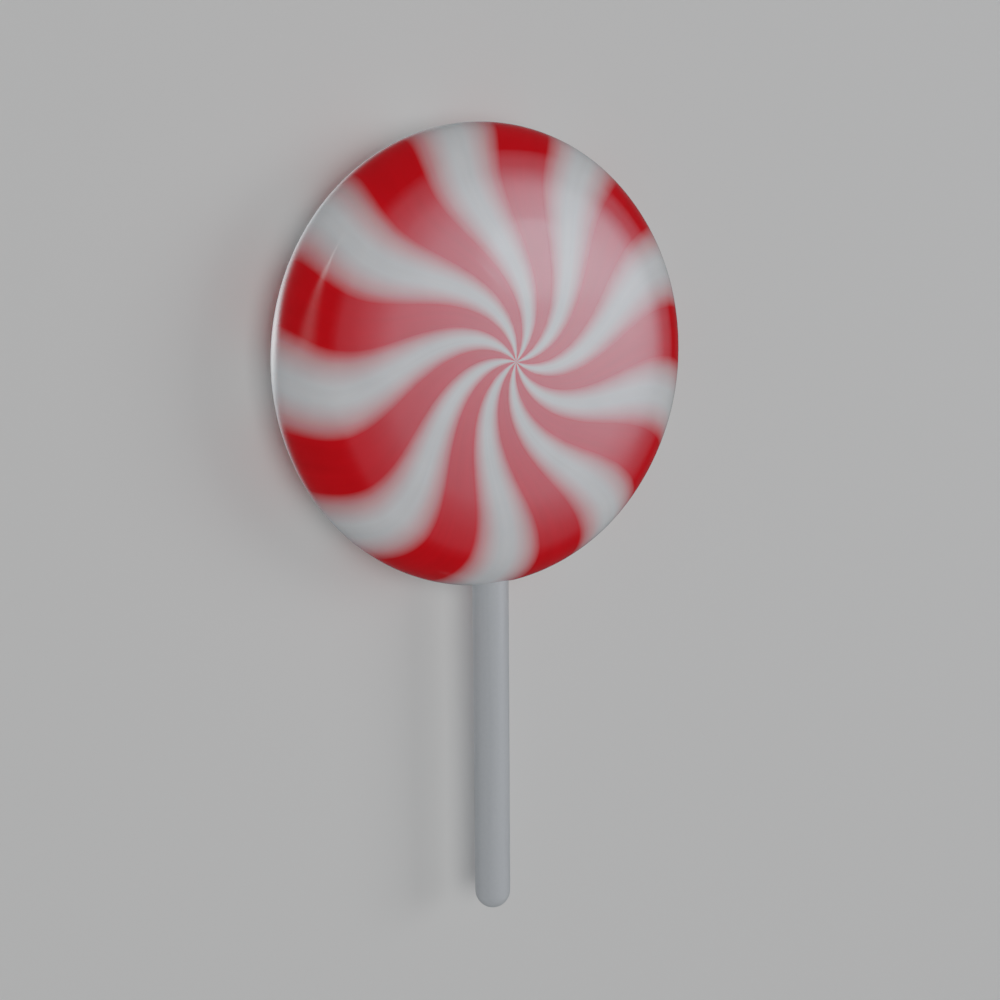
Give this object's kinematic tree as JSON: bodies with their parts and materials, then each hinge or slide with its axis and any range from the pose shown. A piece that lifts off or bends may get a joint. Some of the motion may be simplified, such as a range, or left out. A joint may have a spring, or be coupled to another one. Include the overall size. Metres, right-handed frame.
{
  "type": "pinwheel lollipop",
  "caption": "Flat round hard-candy lollipop with a rounded rim and a red and white pinwheel swirl, on a white stick, lying face up.",
  "frame": {"origin": "middle of the small flat spot on the disc's back, which the lollipop rests on", "axes": "+Z straight out of the shown face, +Y along the stick from its tip towards the disc, +X to the right of the face"},
  "size_m": [0.0492, 0.0873, 0.0108],
  "materials": {
    "sugar": "glossy boiled sugar, nine red and nine white stripes curved as a pinwheel, soft edged towards the rim",
    "stick_plastic": "satin white moulded stick"
  },
  "bodies": {
    "root": {"candy": "sugar", "stick": "stick_plastic"}
  },
  "joints": []
}
